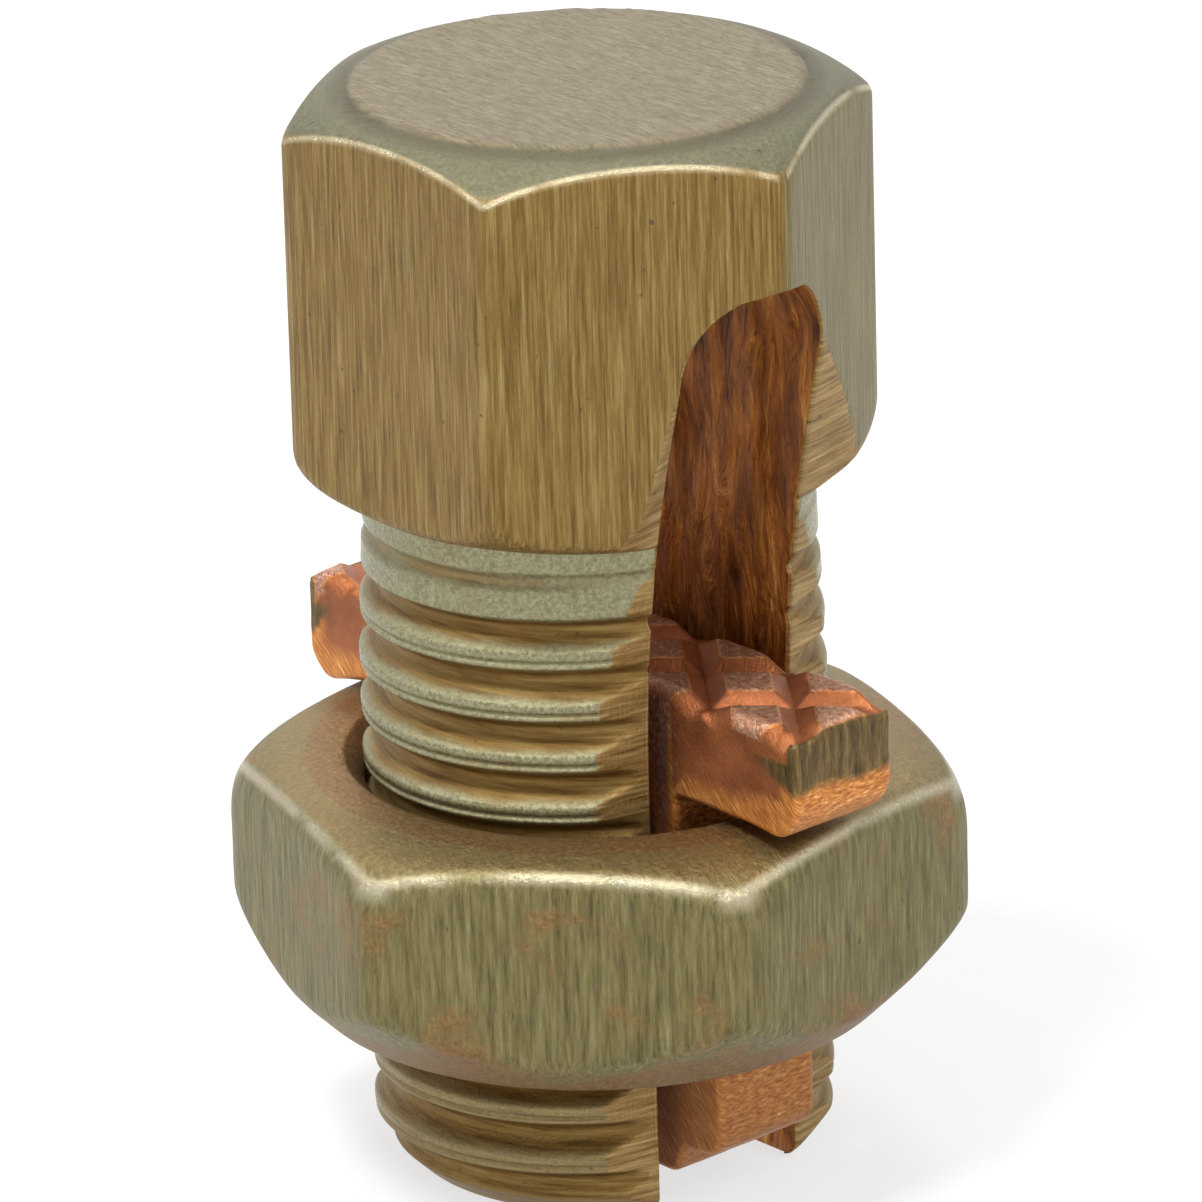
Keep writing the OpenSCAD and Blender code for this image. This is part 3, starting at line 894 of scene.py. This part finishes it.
def white_for_view(tree):
    """1 where a ray comes from the camera or a mirror-like surface."""
    path = tree.nodes.new("ShaderNodeLightPath")
    total = path.outputs["Is Camera Ray"]
    for name in ("Is Glossy Ray", "Is Transmission Ray"):
        node = tree.nodes.new("ShaderNodeMath")
        node.operation = "MAXIMUM"
        tree.links.new(total, node.inputs[0])
        tree.links.new(path.outputs[name], node.inputs[1])
        total = node.outputs[0]
    return total


def make_world():
    world = bpy.data.worlds.new("studio")
    bpy.context.scene.world = world
    world.use_nodes = True
    tree = world.node_tree
    plain = tree.nodes["Background"]
    plain.inputs["Color"].default_value = (0.75, 0.75, 0.76, 1)
    plain.inputs["Strength"].default_value = 0.75
    white = tree.nodes.new("ShaderNodeBackground")
    white.inputs["Color"].default_value = (1, 1, 1, 1)
    mix = tree.nodes.new("ShaderNodeMixShader")
    tree.links.new(white_for_view(tree), mix.inputs[0])
    tree.links.new(plain.outputs[0], mix.inputs[1])
    tree.links.new(white.outputs[0], mix.inputs[2])
    tree.links.new(mix.outputs[0], tree.nodes["World Output"].inputs["Surface"])


def make_floor():
    bpy.ops.mesh.primitive_plane_add(size=3, location=(0, 0, cad_lo[2] - 0.00005))
    floor = bpy.context.object
    floor.name = "floor"
    material = bpy.data.materials.new("floor_white")
    material.use_nodes = True
    tree = material.node_tree
    matt = tree.nodes["Principled BSDF"]
    matt.inputs["Base Color"].default_value = (0.85, 0.85, 0.85, 1)
    matt.inputs["Roughness"].default_value = 0.8
    glow = tree.nodes.new("ShaderNodeEmission")
    glow.inputs["Strength"].default_value = 1.0
    part = tree.nodes.new("ShaderNodeMixShader")
    part.inputs[0].default_value = 0.7
    tree.links.new(matt.outputs[0], part.inputs[1])
    tree.links.new(glow.outputs[0], part.inputs[2])
    mix = tree.nodes.new("ShaderNodeMixShader")
    tree.links.new(white_for_view(tree), mix.inputs[0])
    tree.links.new(matt.outputs[0], mix.inputs[1])
    tree.links.new(part.outputs[0], mix.inputs[2])
    # seen from below the floor is clear, so that it doesn't hide the leg ends
    side = tree.nodes.new("ShaderNodeNewGeometry")
    clear = tree.nodes.new("ShaderNodeBsdfTransparent")
    whole = tree.nodes.new("ShaderNodeMixShader")
    tree.links.new(side.outputs["Backfacing"], whole.inputs[0])
    tree.links.new(mix.outputs[0], whole.inputs[1])
    tree.links.new(clear.outputs[0], whole.inputs[2])
    tree.links.new(whole.outputs[0], tree.nodes["Material Output"].inputs["Surface"])
    floor.data.materials.append(material)


def direction(azimuth, elevation):
    """Unit vector from the object towards an azimuth (from +X) and elevation, in degrees."""
    a, e = np.radians(azimuth), np.radians(elevation)
    return Vector((np.cos(e) * np.cos(a), np.cos(e) * np.sin(a), np.sin(e)))


def make_lamp(name, azimuth, elevation, distance, size, watts):
    lamp = bpy.data.lights.new(name, "AREA")
    lamp.shape = "DISK"
    lamp.size = size
    lamp.energy = watts
    holder = bpy.data.objects.new(name, lamp)
    bpy.context.scene.collection.objects.link(holder)
    target = Vector((0, 0, cad_hi[2] / 2))
    away = direction(azimuth, elevation)
    holder.location = target + away * distance
    holder.rotation_euler = away.to_track_quat("Z", "Y").to_euler()


# name, azimuth, elevation, distance, size, watts
LAMPS = (
    ("key", -85, 64, 0.5, 0.12, 2.4),
    ("fill", 10, 45, 0.6, 0.3, 1.0),
    ("rim", 140, 50, 0.6, 0.2, 1.2),
)

# the camera: direction in degrees, aim in millimetres from the axis and the leg ends, distance in metres
VIEW_AZIMUTH = -41.59
VIEW_ELEVATION = 20.71
VIEW_ROLL = -1.564
VIEW_DISTANCE = 0.23997
VIEW_RIGHT = 0.221
VIEW_HEIGHT = 13.75
FOCAL_PIXELS = 10142.6
SENSOR = 36.0


def make_camera():
    back = direction(VIEW_AZIMUTH, VIEW_ELEVATION)
    a = np.radians(VIEW_AZIMUTH)
    right = Vector((-np.sin(a), np.cos(a), 0))
    up = back.cross(right)
    roll = np.radians(VIEW_ROLL)
    across = right * np.cos(roll) + up * np.sin(roll)
    above = up * np.cos(roll) - right * np.sin(roll)
    target = right * VIEW_RIGHT * MM + Vector((0, 0, VIEW_HEIGHT * MM))
    data = bpy.data.cameras.new("camera")
    data.sensor_width = SENSOR
    data.lens = SENSOR * FOCAL_PIXELS / IMAGE
    data.clip_start = 0.01
    data.clip_end = 10
    camera = bpy.data.objects.new("camera", data)
    bpy.context.scene.collection.objects.link(camera)
    turn = Matrix((across, above, back)).transposed().to_4x4()
    camera.matrix_world = Matrix.Translation(target + back * VIEW_DISTANCE) @ turn
    bpy.context.scene.camera = camera


# ---------------------------------------------------------------- the scene

bpy.context.scene.view_settings.view_transform = "Standard"
PIECES = (
    (make_bolt, bolt_bronze, "bolt", "bolt", "bolt_bronze"),
    (make_nut, nut_bronze, "nut", "nut", "nut_bronze"),
    (make_bar, bar_copper, "pressure_bar", "bar", "bar_copper"),
)
for make_piece, make_material, node, body, slot in PIECES:
    piece = make_piece()
    piece.data.materials.append(make_material())
    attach(piece, body)
    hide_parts(node)

make_world()
make_floor()
for lamp in LAMPS:
    make_lamp(*lamp)
make_camera()
